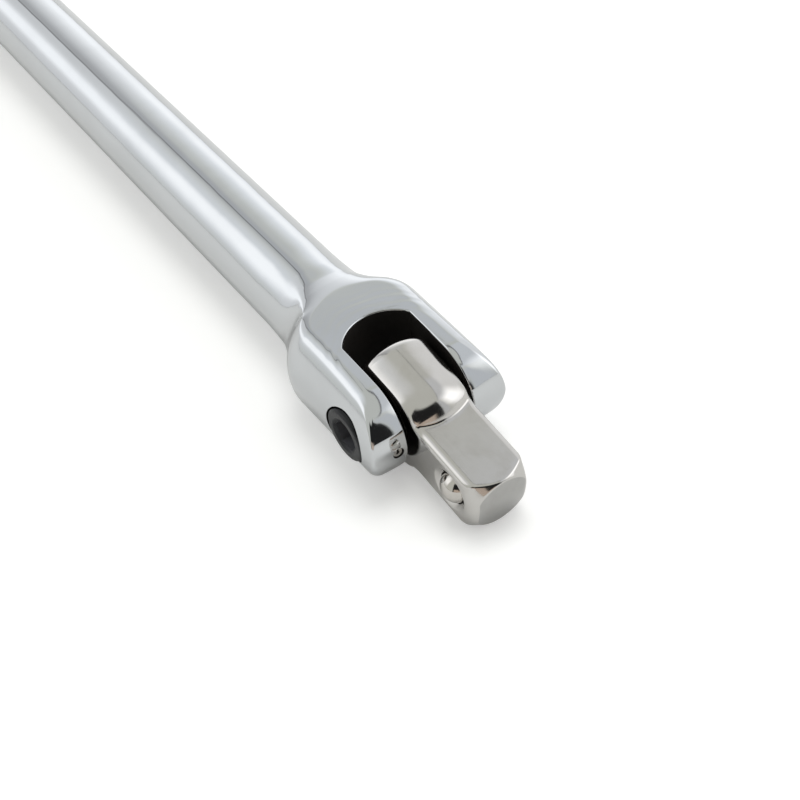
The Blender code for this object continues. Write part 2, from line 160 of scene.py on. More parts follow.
def lipCutter(name, path, width, steps=5):
    # rounds an edge: path holds (point on the edge, way out into the wall, way up off the surface)
    lead = math.radians(8)  # the round starts and ends just off its two faces, which keeps the cut clean
    past = width * 1.05
    section = [(-width, -past)]
    for i in range(steps + 1):
        angle = math.pi - lead - (math.pi / 2 - 2 * lead) * i / steps
        section.append((width + width * math.cos(angle), -width + width * math.sin(angle)))
    section += [(past, width), (-width, width)]
    loops = [[point + outward * out + upward * up for out, up in section] for point, outward, upward in path]
    return skin(name, loops, ring=True)


def settled(obj):
    # the object's modifiers become its plain mesh
    bpy.context.view_layer.update()
    graph = bpy.context.evaluated_depsgraph_get()
    mesh = bpy.data.meshes.new_from_object(obj.evaluated_get(graph), depsgraph=graph)
    obj.modifiers.clear()
    obj.data = mesh


def cut(obj, *cutters):
    for cutter in cutters:
        step = obj.modifiers.new(cutter.name, "BOOLEAN")
        step.object = cutter
        settled(obj)
        bpy.data.objects.remove(cutter)


def trueNormals(obj, blank, sharpDeg):
    # corners on the uncut blank take its smooth normals, so that a cut leaves no dents in the reflections
    away, alike = 0.004, 0.985  # in millimetres, and how well the two faces have to agree
    tree = BVHTree.FromPolygons([v.co for v in blank.vertices], [p.vertices[:] for p in blank.polygons])
    blank.shade_smooth()
    blank.set_sharp_from_angle(angle=math.radians(sharpDeg))
    onBlank = [Vector(corner.vector) for corner in blank.corner_normals]
    mesh = obj.data
    normals = [Vector(corner.vector) for corner in mesh.corner_normals]
    taken = 0
    for face in mesh.polygons:
        for loop in face.loop_indices:
            place, flat, index, gap = tree.find_nearest(mesh.vertices[mesh.loops[loop].vertex_index].co)
            if gap > away or flat.dot(face.normal) < alike:
                continue
            nearest = blank.polygons[index]
            weights = poly_3d_calc([blank.vertices[i].co for i in nearest.vertices], place)
            smooth = sum((onBlank[i] * w for i, w in zip(nearest.loop_indices, weights)), Vector())
            if smooth.length > 0.5:  # a sliver gives none
                normals[loop] = smooth.normalized()
                taken += 1
    mesh.normals_split_custom_set(normals)
    print(obj.name, taken, "corners take the blank's normals")


def dress(obj, place, metals, sharpDeg=35, blank=None):
    # gives a piece its finishes, its shading and its place in the model, in metres
    for i, finish in enumerate(metals):
        obj.data.materials[i] = finish
    while len(obj.data.materials) > len(metals):
        obj.data.materials.pop()
    obj.data.shade_smooth()
    obj.data.set_sharp_from_angle(angle=math.radians(sharpDeg))
    weigh = obj.modifiers.new("largeFacesFirst", "WEIGHTED_NORMAL")
    weigh.keep_sharp = True
    settled(obj)
    if blank:
        trueNormals(obj, blank, sharpDeg)
    obj.data.transform(place)
    print(obj.name, len(obj.data.polygons), "faces")
    return obj


# Node tools: all but add find their tree from the sockets that they are given


def fill(slot, value):
    # a link where the value is another node's socket
    if isinstance(value, bpy.types.NodeSocket):
        slot.id_data.links.new(value, slot)
    else:
        slot.default_value = value


def add(tree, kind, output=0, settings=None, **values):
    node = tree.nodes.new(kind)
    for name, value in (settings or {}).items():
        setattr(node, name, value)
    for name, value in values.items():
        fill(node.inputs[name.replace("_", " ")], value)
    return node.outputs[output]


def maths(operation, *values, clamp=False):
    tree = next(value.id_data for value in values if isinstance(value, bpy.types.NodeSocket))
    result = add(tree, "ShaderNodeMath", 0, {"operation": operation, "use_clamp": clamp})
    for slot, value in zip(result.node.inputs, values):
        fill(slot, value)
    return result


def ramp(value, low, high, smooth=False):
    # runs from 0 at low to 1 at high
    settings = {"interpolation_type": "SMOOTHSTEP" if smooth else "LINEAR"}
    return add(value.id_data, "ShaderNodeMapRange", 0, settings, Value=value, From_Min=low, From_Max=high)


def mix(factor, under, over):
    result = add(factor.id_data, "ShaderNodeMix", 2, {"data_type": "RGBA"}, Factor=factor)
    fill(result.node.inputs[6], under)  # 6, 7 and output 2 are the sockets for colours
    fill(result.node.inputs[7], over)
    return result


def groupOf(name, inputs, outputs, treeKind="ShaderNodeTree", outputKind="NodeSocketFloat"):
    tree = bpy.data.node_groups.new(name, treeKind)
    for label, value in inputs.items():
        kind = "NodeSocketInt" if isinstance(value, int) else "NodeSocketFloat"
        tree.interface.new_socket(label, in_out="INPUT", socket_type=kind).default_value = value
    for label in outputs:
        tree.interface.new_socket(label, in_out="OUTPUT", socket_type=outputKind)
    return tree, tree.nodes.new("NodeGroupInput").outputs, tree.nodes.new("NodeGroupOutput").inputs


# Handle: round shaft, neck, and a turned fork head with flats above and below

handleLow, handleHigh = corners("handle_forging")
forging = {
    "barrelRadius": (handleHigh.y - handleLow.y) / 2,
    "halfFork": (handleHigh.z - handleLow.z) / 2,
    "noseRadius": handleHigh.x,
    "end": handleLow.x,
    "taperStart": 7.6,
    "taperBlend": 0.5,
    "shaftAtNeck": 9.5,
    "shaftAtGrip": 8.3,
    "neckStart": 40,  # this and the next lengths lie behind the swivel axis
    "neckRise": 0.9,
    "shoulderFoot": 26.2,
    "shoulderSlope": 0.72,
    "shoulderRound": 1.9,
    "neckFillet": 2.8,
    "neckBlend": 2.4,  # where the flats run out over the neck
    "blendFrom": 1.2,  # it grows while the round comes from this far below the flats
    "blendFull": 0.2,  # to this far below them
    "shaftBlend": 0.4,  # on the plain shaft, which stays below the flats
    "barrelFrom": 1,  # how far the round stands above the flats where the edge begins to be the fork's
    "barrelFull": 4.4,
    "edgeRound": 1.7,  # the rounded edge between the flats and the round side
    "noseRound": 1.0,
    "noseUnder": 2.6,  # how much rounder that edge gets on the way down under the nose
    "edgeLift": 0.055,  # the flats lie this far below the start of that round, which leaves a crisp line
    "edgeShave": 0.17,
    "flatBlend": 0.04,
    "crown": math.radians(0.5),  # how fast the flats lean outwards, for each millimetre past crownFrom
    "crownFrom": 7.2,
    "crownTo": 16,  # from here on they lean no more
    "steepestCrease": 0.32,
    "slotHalf": 7.65,
    "slotBack": 14.2,
    "slotArc": 9.1,
    "slotLip": 0.28,
    "lipRoll": 0.1,  # how far the flats fall towards the slot, from polishing
    "lipRollWidth": 0.9,
    "counterboreRadius": 5.8,
    "counterboreLip": 0.14,
    "seat": 11.85,
    "shankRadius": 4.3,
    "threadRadius": 3.8,
    "pinRadius": 1.15,
    "pinOffset": 9.75,
    "pinMouth": 0.12,  # how far inside the nose the pin's hole begins to open
}
forging["slotCentre"] = forging["slotArc"] - forging["slotBack"]
taperReach = math.hypot(forging["taperStart"], forging["halfFork"])
taperLean = math.atan2(forging["taperStart"], forging["halfFork"])
forging["tilt"] = math.acos(forging["noseRadius"] / taperReach) - taperLean  # of the flats from taperStart on
density = {  # faces over each stretch of the skin
    "side": 22,
    "crease": 20,
    "flat": 22,
    "shaft": 18,
    "neck": 12,
    "shoulder": 56,
    "barrel": 34,
    "nose": 72,
}


def slotDistance(x, y):
    # how far a point of the flats lies outside the slot
    centre = forging["slotCentre"]
    cornerX = centre - math.sqrt(forging["slotArc"] ** 2 - forging["slotHalf"] ** 2)
    if x > cornerX:
        return abs(y) - forging["slotHalf"]
    if math.atan2(abs(y), centre - x) < math.asin(forging["slotHalf"] / forging["slotArc"]):
        return math.hypot(x - centre, y) - forging["slotArc"]
    return math.hypot(x - cornerX, abs(y) - forging["slotHalf"])


def lipFall(x, y):
    # how far the flats have fallen near the slot
    gap = max(slotDistance(x, y), 0) / forging["lipRollWidth"]
    return forging["lipRoll"] * math.exp(-gap)


def turnedRadius(x):
    flare = min(max((x + forging["neckStart"]) / (forging["neckStart"] - forging["shoulderFoot"]), 0), 1)
    neck = forging["shaftAtNeck"] + forging["neckRise"] * flare * flare
    foot = forging["shaftAtNeck"] + forging["neckRise"]
    shoulder = foot + forging["shoulderSlope"] * (x + forging["shoulderFoot"])
    valley = smoothMax(neck, shoulder, forging["neckFillet"])
    return smoothMin(forging["barrelRadius"], valley, forging["shoulderRound"])


def halfHeight(x):
    taper = (forging["noseRadius"] - x * math.sin(forging["tilt"])) / math.cos(forging["tilt"])
    return smoothMin(forging["halfFork"], taper, forging["taperBlend"])


def noseReach(lean):
    # from the swivel axis to the flats and the nose, at lean radians forward of straight up
    return forging["noseRadius"] / math.cos(max(forging["tilt"] - lean, lean - math.pi + forging["tilt"], 0))


def sectionAngles(crease, spread):
    # angles over half a section, which crowd together within the spread on both sides of the crease
    before = max(crease - spread, crease / 2)
    after = min(crease + spread, (crease + math.pi / 2) / 2)
    stops = (0, before, after, math.pi / 2)
    steps = (density["side"], density["crease"], density["flat"])
    quarter = [low + (high - low) * i / n for low, high, n in zip(stops, stops[1:], steps) for i in range(n)]
    return [*quarter, math.pi / 2, *(math.pi - angle for angle in reversed(quarter))]


def halfSection(lean, top, radius, blend, full=0, crease=None):
    # (y, reach) over half of the fork, in a plane through Y that leans forward by lean radians
    # full goes from 0 on the shaft to 1 on the barrel
    squash = math.cos(lean) ** 2

    def gap(angle):
        side = radius / math.sqrt(math.cos(angle) ** 2 + squash * math.sin(angle) ** 2)
        return top / math.sin(angle) - side

    if crease is None:
        least = (forging["steepestCrease"] * top) ** 2
        crease = math.atan2(top, math.sqrt(max(radius**2 - squash * top**2, least)))
    nudge, spare = 0.01, 0.2
    slope = (gap(crease - nudge) - gap(crease + nudge)) / (2 * nudge)
    for angle in sectionAngles(crease, (blend + spare) / max(slope, top / 2)):
        upward = max(math.sin(angle), 1e-6)
        past = min(abs(top * math.cos(angle) / upward), forging["crownTo"]) - forging["crownFrom"]
        flat = top - forging["crown"] * full * max(past, 0) ** 2 / 2
        lifted = flat + forging["edgeLift"] * full
        side = radius / math.sqrt(math.cos(angle) ** 2 + squash * upward**2)
        side -= forging["edgeShave"] * full * min(upward / math.sin(crease), 1) ** 5
        reach = smoothMin(smoothMin(side, lifted / upward, blend), flat / upward, forging["flatBlend"])
        yield reach * math.cos(angle), reach * math.sin(angle)


def across(x, radius, crease=None):
    # one ring of the skin: the round shaft or barrel, met by the flats
    top = halfHeight(x)
    full = ease(radius - top, forging["barrelFrom"], forging["barrelFull"])
    shy = top - forging["blendFull"]
    wide = forging["neckBlend"] * ease(radius, top - forging["blendFrom"], shy)
    wide += forging["shaftBlend"] * ease(shy - radius, 0, 1)
    blend = wide + (forging["edgeRound"] - wide) * full
    half = []
    for y, z in halfSection(0, top, radius, blend, full, crease):
        half.append((y, z - lipFall(x, y) * ease(z, top / 2, top)))
    return [(x, y, z) for y, z in half] + [(x, y, -z) for y, z in half[-2:0:-1]]


grip = {
    "radius": 9.8,
    "length": 125,
    "band": 6,
    "grooveWidth": 1.6,
    "grooveDepth": 0.8,
    "grooveLand": 0.9,  # from a groove's middle to the knurl, in groove widths
    "dome": 7,
    "knurlDepth": 0.42,
    "knurlFill": 0.9,  # the diamonds' height, in knurl depths
    "aroundCount": 40,
    "alongPitch": 1.9,
    "diamondTop": 0.16,
}


def gripStops():
    # both grooves' middles, and where the grip ends
    end = forging["end"]
    return end + grip["dome"] + grip["band"], end + grip["length"] - grip["band"], end + grip["length"]


def shaftProfile():
    # (x, radius) from the domed end, over the grip and its grooves, to the neck
    end, radius, slim = forging["end"], grip["radius"], forging["shaftAtGrip"]
    for along, rise in arc((0, 0), 1, 178, 90, 22):
        yield end + grip["dome"] * (1 + along), radius * rise
    rear, front, gripStart = gripStops()
    for middle, inner in ((rear, 1), (front, -1)):
        groove = []
        for along, rise in arc((0, 0), 1, 180, 360, 12):
            groove.append((middle + along * grip["grooveWidth"] / 2, radius + grip["grooveDepth"] * rise))
        edge = middle + inner * grip["grooveWidth"] * grip["grooveLand"]
        sink = [(edge, radius), (edge + inner * grip["knurlDepth"], radius - grip["knurlDepth"])]
        yield from groove + sink if inner > 0 else sink[::-1] + groove
    drop = radius - slim
    for along, rise in arc((0, 0), 1, 90, 0, 12):
        yield gripStart + drop * along, slim + drop * rise
    start, length = gripStart + drop, -forging["neckStart"] - gripStart - drop
    for i in range(1, density["shaft"] + 1):
        share = i / density["shaft"]
        yield start + length * share, slim + (forging["shaftAtNeck"] - slim) * share


def handleRings():
    # rings from the grip's end to the swivel axis
    shaftCrease = math.pi / 4
    creaseRise = math.atan(1 / forging["steepestCrease"]) - shaftCrease  # towards where the flats run out
    for x, radius in shaftProfile():
        yield across(x, radius, shaftCrease)
    start = -forging["shoulderFoot"] - forging["neckFillet"]
    for i in range(1, density["neck"]):
        share = i / density["neck"]
        x = -forging["neckStart"] + (start + forging["neckStart"]) * share
        yield across(x, turnedRadius(x), shaftCrease + creaseRise * share)
    rise = forging["barrelRadius"] - forging["shaftAtNeck"] - forging["neckRise"]
    end = -forging["shoulderFoot"] + rise / forging["shoulderSlope"] + forging["shoulderRound"]
    for i in range(density["shoulder"]):
        x = start + (end - start) * i / (density["shoulder"] - 1)
        yield across(x, turnedRadius(x))
    for i in range(1, density["barrel"]):
        yield across(end - end * i / density["barrel"], forging["barrelRadius"])


def noseFan():
    # half sections in planes through Y, from straight up over the nose to straight down
    for i in range(density["nose"] + 1):
        lean = math.pi * i / density["nose"]
        blend = forging["edgeRound"] + (forging["noseRound"] - forging["edgeRound"]) * math.sin(lean)
        blend += forging["noseUnder"] * max(-math.cos(lean), 0) * math.sin(lean)
        top = noseReach(lean)
        half = []
        for y, reach in halfSection(lean, top, forging["barrelRadius"], blend, 1):
            reach -= lipFall(top * math.sin(lean), y) * ease(reach, top / 2, top)
            half.append((reach * math.sin(lean), y, reach * math.cos(lean)))
        yield half


def handleBlank():
    shape = bmesh.new()
    end = shape.verts.new((forging["end"], 0, 0))
    rings = [[shape.verts.new(point) for point in ring] for ring in handleRings()]
    far, near = (shape.verts.new((0, side * forging["barrelRadius"], 0)) for side in (1, -1))
    fan = [[far, *map(shape.verts.new, half[1:-1]), near] for half in noseFan()]
    rings.append([*fan[0], *fan[-1][-2:0:-1]])
    around = len(rings[0])
    for i in range(around):
        after = (i + 1) % around
        shape.faces.new((end, rings[0][i], rings[0][after]))
        for back, front in zip(rings, rings[1:]):
            shape.faces.new((back[i], front[i], front[after], back[after]))
    for above, below in zip(fan, fan[1:]):
        shape.faces.new((far, above[1], below[1]))
        shape.faces.new((near, below[-2], above[-2]))
        for i in range(1, len(above) - 2):
            shape.faces.new((above[i], above[i + 1], below[i + 1], below[i]))
    bmesh.ops.recalc_face_normals(shape, faces=shape.faces)
    return meshObject("handleBody", shape)


def slotArcPoints():
    corner = math.degrees(math.asin(forging["slotHalf"] / forging["slotArc"]))
    return list(arc((forging["slotCentre"], 0), forging["slotArc"], 180 - corner, 180 + corner, 48))


def slotEdgePath():
    # once round the slot's edge: back arc over the top, one nose, back arc underneath, the other nose
    half, straightSteps, noseSteps = forging["slotHalf"], 16, 48
    back = slotArcPoints()
    cornerX = back[0][0]
    straight = [cornerX - cornerX * i / straightSteps for i in range(1, straightSteps + 1)]
    leans = [math.pi * i / noseSteps for i in range(1, noseSteps)]
    path = []

    def flatPoint(x, y, outward, side):
        z = side * (halfHeight(x) - forging["lipRoll"])
        path.append((Vector((x, y, z)), outward, Vector((0, 0, side))))

    for side in (1, -1):
        # the arc ends at the near wall over the top, and at the far wall underneath
        wall = Vector((0, -side, 0))
        for i, (x, y) in enumerate(back[::side]):
            outward = Vector((x - forging["slotCentre"], y, 0)).normalized()
            if i in (0, len(back) - 1):
                square = Vector((0, math.copysign(1, y), 0))
                outward = (outward + square).normalized()
                outward /= outward.dot(square)
            flatPoint(x, y, outward, side)
        for x in straight:
            flatPoint(x, wall.y * half, wall, side)
        for lean in leans[::side]:
            upward = Vector((math.sin(lean), 0, math.cos(lean)))
            place = upward * (noseReach(lean) - forging["lipRoll"])
            path.append((place + wall * half, wall, upward))
        for x in reversed(straight):
            flatPoint(x, wall.y * half, wall, -side)
    return path


def rimPath(radius, steps=64):
    # round the counterbore's mouth in the near side of the barrel
    barrel = forging["barrelRadius"]
    path = []
    for i in range(steps):
        angle = 2 * math.pi * i / steps
        outward = Vector((math.cos(angle), 0, math.sin(angle)))
        z = radius * outward.z
        upward = Vector((0, -math.sqrt(barrel**2 - z * z), z)) / barrel
        path.append((Vector((radius * outward.x, upward.y * barrel, z)), outward, upward))
    return path


def makeHandle(chrome, slotShade):
    body = handleBlank()
    blank = body.data.copy()
    far, past = 40, 0.5  # the cutters run this far beyond the head and beyond the nose
    half, seat, nose = forging["slotHalf"], forging["seat"], forging["noseRadius"]
    outline = [(far, -half), (far, half), *slotArcPoints()]
    # the slot's walls, the screw's holes and the pin's hole take the second finish, a near-black painted shade
    slot = skin("slot", [[(x, y, z) for x, y in outline] for z in (-far, far)], 1)
    shank, bore, thread = forging["shankRadius"], forging["counterboreRadius"], forging["threadRadius"]
    steps = [(-far, 0), (-far, bore), (-seat, bore), (-seat, shank)]
    steps += [(half / 2, shank), (half / 2, thread), (far, thread), (far, 0)]
    pin = forging["pinRadius"]
    mouth = [(nose - forging["pinMouth"], pin), (nose + past, pin + past), (nose + past, 0)]
    pinHole = turned("pinHole", [(shank / 2, 0), (shank / 2, pin), *mouth], "X", 40, 1)
    pinHole.data.transform(Matrix.Translation((0, -forging["pinOffset"], 0)))
    cut(body, slot, lipCutter("slotLip", slotEdgePath(), forging["slotLip"]))
    rim = lipCutter("screwRim", rimPath(bore), forging["counterboreLip"], 3)
    cut(body, turned("screwHole", steps, "Y", 96, 1), rim, pinHole)
    dress(body, handlePlace, [chrome, slotShade], blank=blank)
    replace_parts(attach(body, "handle"), "handle_forging")


# Grip knurl: one raised diamond, repeated over the grip by Geometry Nodes


def knurlTree(finish):
    inputs = {
        "Around": 1,
        "Rows": 1,
        "Start": 0.0,
        "Pitch": 1.0,
        "Core Radius": 1.0,
        "Height": 1.0,
        "Top": 0.1,
    }
    tree, given, result = groupOf("gripKnurl", inputs, ["Geometry"], "GeometryNodeTree", "NodeSocketGeometry")
    around, radius = given["Around"], given["Core Radius"]
    halfPitch = maths("DIVIDE", given["Pitch"], 2.0)

    # one point for each diamond: the rows step along X, and every other row is turned by half a diamond
    index = add(tree, "GeometryNodeInputIndex")
    row = maths("FLOOR", maths("DIVIDE", index, around))
    spot = maths("SUBTRACT", index, maths("MULTIPLY", row, around))
    aside = maths("MULTIPLY", maths("MODULO", row, 2.0), 0.5)
    angle = maths("MULTIPLY", maths("DIVIDE", maths("ADD", spot, aside), around), 2 * math.pi)
    outY, outZ = maths("COSINE", angle), maths("SINE", angle)
    spots = {
        "X": maths("MULTIPLY_ADD", row, halfPitch, given["Start"]),
        "Y": maths("MULTIPLY", outY, radius),
        "Z": maths("MULTIPLY", outZ, radius),
    }
    place = add(tree, "ShaderNodeCombineXYZ", **spots)
    dots = add(tree, "GeometryNodeMeshLine", Count=maths("MULTIPLY", around, given["Rows"]))
    moved = add(tree, "GeometryNodeSetPosition", Geometry=dots, Position=place)

    sizes = {"Vertices": 4, "Radius Top": given["Top"], "Radius Bottom": 1.0, "Depth": 1.0}
    diamond = add(tree, "GeometryNodeMeshCone", "Mesh", {"fill_type": "TRIANGLE_FAN"}, **sizes)
    width = maths("DIVIDE", maths("MULTIPLY", radius, math.pi), around)
    size = add(tree, "ShaderNodeCombineXYZ", X=halfPitch, Y=width, Z=given["Height"])
    outward = add(tree, "ShaderNodeCombineXYZ", Y=outY, Z=outZ)
    axes = {"primary_axis": "Z", "secondary_axis": "X"}
    ahead = (1, 0, 0)
    facing = add(tree, "FunctionNodeAxesToRotation", 0, axes, Primary_Axis=outward, Secondary_Axis=ahead)
    way = {"Rotation": facing, "Scale": size}
    spread = add(tree, "GeometryNodeInstanceOnPoints", Points=moved, Instance=diamond, **way)
    real = add(tree, "GeometryNodeRealizeInstances", Geometry=spread)
    fill(result["Geometry"], add(tree, "GeometryNodeSetMaterial", Geometry=real, Material=finish))
    return tree


def makeKnurl(chrome):
    tree = knurlTree(chrome)
    rear, front, _ = gripStops()
    edge = grip["grooveWidth"] * grip["grooveLand"] + grip["knurlDepth"] + grip["alongPitch"] / 2
    values = {
        "Around": grip["aroundCount"],
        "Rows": int((front - rear - 2 * edge) / (grip["alongPitch"] / 2)) + 1,
        "Start": rear + edge,
        "Pitch": grip["alongPitch"],
        "Core Radius": grip["radius"] - grip["knurlDepth"],
        "Height": grip["knurlDepth"] * grip["knurlFill"],
        "Top": grip["diamondTop"],
    }
    knurl = bpy.data.objects.new("gripKnurl", bpy.data.meshes.new("gripKnurl"))
    bpy.context.scene.collection.objects.link(knurl)
    repeat = knurl.modifiers.new("knurl", "NODES")
    repeat.node_group = tree
    for socket in tree.interface.items_tree:
        if socket.in_out == "INPUT":
            repeat[socket.identifier] = values[socket.name]
    settled(knurl)
    knurl.data.transform(handlePlace)
    knurl.data.shade_flat()
    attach(knurl, "handle")
    print("gripKnurl", len(knurl.data.polygons), "faces")


# Drive head: the rounded hub and the male square, one surface found along rays from the head's middle plane

headLow, headHigh = corners("drive_head")
head = {
    "halfSquare": (headHigh.y - headLow.y) / 2,
    "hubBack": 7.2,
    "hubBackRound": 2.6,
    "hubRadius": 10.4,
    "frontRadius": 13.1,  # the ball that the hub's front is ground to
    "shoulderBlend": 2.2,
    "junctionFillet": 0.35,
    "hubEdge": 0.45,
    "squareEdge": 1.45,
    "edgeFrom": 8,  # between these the side edge goes from the hub's to the square's
    "edgeTo": 12,
    "coneStart": 27.7,
    "coneEdge": 0.25,
    "endRadius": 6.02,
    "endEdge": 0.2,
    "endCrown": 0.65,
    "detentReach": 20.7,
    "detentRadius": 3.3,
    "ballStandsOut": 1.4,
    "ballPlay": 0.16,
    "boreRadius": 3.5,
    "boreDepth": 10,
    "dishRadius": 4.6,
    "dishDepth": 0.75,
    "screwBore": 4.2,
}
head["ballCentre"] = head["halfSquare"] + head["ballStandsOut"] - head["detentRadius"]


def headField(x, y, z):
    # below zero inside the head
    half = head["halfSquare"]
    around = np.hypot(y, z)
    overBack = np.maximum(head["hubBackRound"] - head["hubBack"] - x, 0)
    overTop = np.maximum(around - head["hubRadius"] + head["hubBackRound"], 0)
    drum = np.hypot(overBack, overTop) - head["hubBackRound"]
    hub = smoothMax(drum, np.hypot(x, around) - head["frontRadius"], head["shoulderBlend"])
    cone = (x - head["coneStart"] + around - half) / math.sqrt(2)
    endFace = head["coneStart"] + half - head["endRadius"] + head["endCrown"]
    end = x - endFace + head["endCrown"] * (around / head["endRadius"]) ** 2
    bar = smoothMax(smoothMax(np.abs(z) - half, cone, head["coneEdge"]), end, head["endEdge"])
    bar = np.maximum(bar, -x - head["hubBack"] / 2)  # it stops inside the hub
    body = smoothMin(hub, bar, head["junctionFillet"])
    growth = head["squareEdge"] - head["hubEdge"]
    edge = head["hubEdge"] + growth * ease(x, head["edgeFrom"], head["edgeTo"])
    side = np.abs(y) - half
    corner = np.hypot(np.maximum(side + edge, 0), np.maximum(body + edge, 0))
    return np.minimum(np.maximum(side, body), -edge) + corner


def headGuide(y):
    # the side view's turning points over the top at y, each with the number of rays up to the next
    # the small offsets only crowd the rays where the surface bends, and don't shape it
    half = head["halfSquare"]
    crown = math.sqrt(head["hubRadius"] ** 2 - y * y)
    rest = max(head["frontRadius"] ** 2 - y * y, 0)
    shoulder = math.sqrt(head["frontRadius"] ** 2 - head["hubRadius"] ** 2)
    junction = math.sqrt(rest - half * half)
    coneX = head["coneStart"] + half - math.hypot(y, half)
    endZ = math.sqrt(max(head["endRadius"] ** 2 - y * y, 1.2))
    endX = head["coneStart"] + half - head["endRadius"]
    flatZ = math.sqrt((head["hubRadius"] - head["hubBackRound"]) ** 2 - y * y)
    return [
        ((-head["hubBack"], 0), 12),
        ((-head["hubBack"], flatZ), 18),
        ((head["hubBackRound"] - head["hubBack"], crown), 20),
        ((shoulder - 1.9, crown), 16),
        ((shoulder + 1.2, math.sqrt(rest - (shoulder + 1.2) ** 2)), 16),
        ((junction - 0.25, half + 0.25), 8),
        ((junction + 0.35, half), 30),
        ((coneX - 0.4, half), 12),
        ((coneX + 0.35 * (endX - coneX), half + 0.35 * (endZ - half)), 8),
        ((coneX + 0.8 * (endX - coneX), half + 0.8 * (endZ - half)), 10),
        ((endX + 0.12, endZ - 0.35), 16),
        ((endX + head["endCrown"], 0), 0),
    ]


def headRing(y, farOut=40.0, halvings=44):
    stops = headGuide(y)
    over = []
    for ((x0, z0), count), ((x1, z1), _) in zip(stops, stops[1:]):
        over += [(x0 + (x1 - x0) * i / count, z0 + (z1 - z0) * i / count) for i in range(count)]
    over.append(stops[-1][0])
    aims = np.array(over + [(x, -z) for x, z in over[-2:0:-1]])
    aims /= np.hypot(aims[:, 0], aims[:, 1])[:, None]
    low, high = np.zeros(len(aims)), np.full(len(aims), farOut)
    for _ in range(halvings):
        reach = (low + high) / 2
        inside = headField(aims[:, 0] * reach, y, aims[:, 1] * reach) < 0
        low, high = np.where(inside, reach, low), np.where(inside, high, reach)
    return [(x, y, z) for x, z in aims * low[:, None]]


def headBlank():
    half, edge, steps = head["halfSquare"], head["squareEdge"], 34
    inner = half - edge
    rim = [inner + edge * math.sin(math.radians(turn)) for turn in (*range(9, 73, 9), 80, 86)]
    rim.append(half - 0.0001)  # all but on the flat side
    middle = [-inner + 2 * inner * i / steps for i in range(steps + 1)]
    return skin("driveHead", [headRing(y) for y in (*(-y for y in reversed(rim)), *middle, *rim)])


def detentCutter():
    # the dish round the ball, the mouth that holds the ball in, and the blind bore behind it
    half, dish, rim, bore = head["halfSquare"], head["dishDepth"], head["dishRadius"], head["boreRadius"]
    floor = half - dish
    mouth = math.sqrt(head["detentRadius"] ** 2 - (floor - head["ballCentre"]) ** 2) + head["ballPlay"]
    profile = [
        (-half - 30, 0),  # well outside the square
        (-half - 30, rim + 0.1),
        (-half - 0.05, rim + 0.1),
        (-half + 0.04, rim - 0.12),  # the dish's softened rim
        (-half + dish * 0.45, (rim + mouth) / 2),
        (-floor - 0.05, mouth + 0.12),  # the mouth's softened edge
        (-floor + 0.06, mouth),
        (-floor + 0.5, mouth),
        (-floor + 1, bore),
        (-half + head["boreDepth"], bore),
        (-half + head["boreDepth"], 0),
    ]
    cutter = turned("detentBore", profile, "Y", 96)
    # past the mouth the bore's walls take the second finish, a near-black painted shade
    for face in cutter.data.polygons:
        face.material_index = 1 if face.center.y > -floor else 0
    cutter.data.transform(Matrix.Translation((head["detentReach"], 0, 0)))
    return cutter


def makeDriveHead(satin, boreShade, endShade):
    body = headBlank()
    blank = body.data.copy()
    far, bore = 30, head["screwBore"]
    # the screw's bore takes the second finish, a near-black painted shade
    through = turned("screwBore", [(-far, 0), (-far, bore), (far, bore), (far, 0)], "Y", 72, 1)
    cut(body, detentCutter(), through)
    body.data.materials.append(None)
    # faces of the square's end take a rougher, darker copy of the satin, its darker colour a painted shade for the
    # shadowed floor that the end mirrors
    squareOn = 0.93  # the least that a face of the ground end looks along X
    for face in body.data.polygons:
        if face.material_index == 0 and face.normal.x > squareOn and face.center.x > head["coneStart"]:
            face.material_index = 2
    dress(body, drivePlace, [satin, boreShade, endShade], blank=blank)
    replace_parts(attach(body, "drive"), "drive_head")


def makeBall(polished):
    shape = bmesh.new()
    bmesh.ops.create_uvsphere(shape, u_segments=64, v_segments=40, radius=head["detentRadius"])
    bmesh.ops.rotate(shape, verts=shape.verts, matrix=Matrix.Rotation(math.pi / 2, 3, "X"))
    bmesh.ops.translate(shape, verts=shape.verts, vec=(head["detentReach"], -head["ballCentre"], 0))
    ball = dress(meshObject("detentBall", shape), drivePlace, [polished], 60)
    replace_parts(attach(ball, "ball"), "detent_ball")


# Detent spring: a coil between the bore's blind end and the ball, built at one length

springLow, springHigh = corners("detent_spring")
spring = {"wireRadius": 0.35, "radius": 2.3, "turns": 4, "stepsPerTurn": 40, "wireSides": 12, "travel": 1.4}


def makeSpring(springSteel):
    wire, steps, sides = spring["wireRadius"], spring["stepsPerTurn"], spring["wireSides"]
    start, end = springLow.y + wire, springHigh.y - wire
    count = spring["turns"] * steps
    loops = []
    for i in range(count + 1):
        turn = 2 * math.pi * i / steps
        outward = Vector((math.cos(turn), 0, math.sin(turn)))
        middle = Vector((head["detentReach"], start + (end - start) * i / count, 0))
        middle += outward * spring["radius"]
        section = arc((0, 0), wire, 0, 360 - 360 / sides, sides - 1)
        loops.append([middle + outward * out + Vector((0, along, 0)) for out, along in section])
    coil = dress(skin("detentSpring", loops), drivePlace, [springSteel], 60)
    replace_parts(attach(coil, "drive"), "detent_spring")
    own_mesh(coil)


# Swivel screw and its lock pin

screwLow, screwHigh = corners("pivot_screw")
screw = {
    "face": screwLow.y,
    "end": screwHigh.y,
    "headRadius": 5.5,
    "headUnderside": -12.15,
    "rim": 0.45,
    "rimDrop": 0.9,  # the rim's round along the screw and across it, in rims
    "rimWidth": 1.6,
    "recessRadius": 3.75,
    "recessDepth": 0.55,
    "socketFlats": 6.0,
    "socketDepth": 2.6,
    "socketPoint": 0.9,  # the drill's point below the flats
    "shankRadius": 4.0,
    "threadRadius": 3.5,
    "threadStart": 7.4,
    "threadEase": 0.6,
    "pinSeatStart": 2.65,
}


